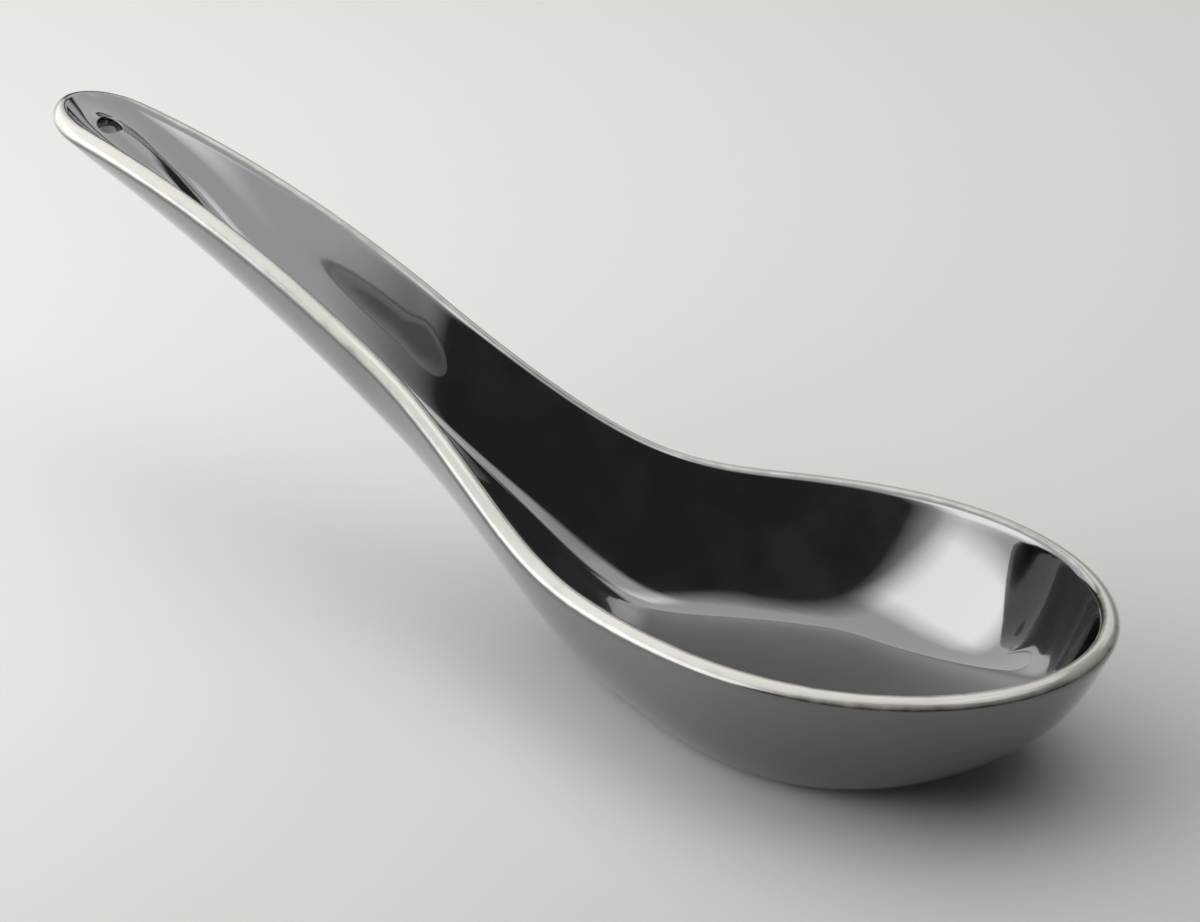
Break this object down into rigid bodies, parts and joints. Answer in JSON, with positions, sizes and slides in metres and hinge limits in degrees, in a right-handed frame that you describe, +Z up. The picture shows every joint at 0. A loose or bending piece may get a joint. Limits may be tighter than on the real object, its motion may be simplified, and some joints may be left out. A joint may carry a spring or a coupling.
{
  "type": "soup spoon",
  "caption": "Glazed ceramic soup spoon with a deep flat-footed bowl, a channelled rising handle and a hang hole near its tip.",
  "frame": {"origin": "middle of the flat foot, on the face that the spoon stands on", "axes": "+X towards the front of the bowl, with the handle rising along -X; +Z up, square to the foot; the spoon is alike on both sides of the plane Y = 0"},
  "size_m": [0.1354, 0.0462, 0.0475],
  "materials": {
    "fired_clay": "matt, unglazed where it shows at the foot",
    "black_glaze": "high gloss"
  },
  "bodies": {
    "root": {"fired_body": "fired_clay", "black_glaze": "black_glaze"}
  },
  "joints": []
}
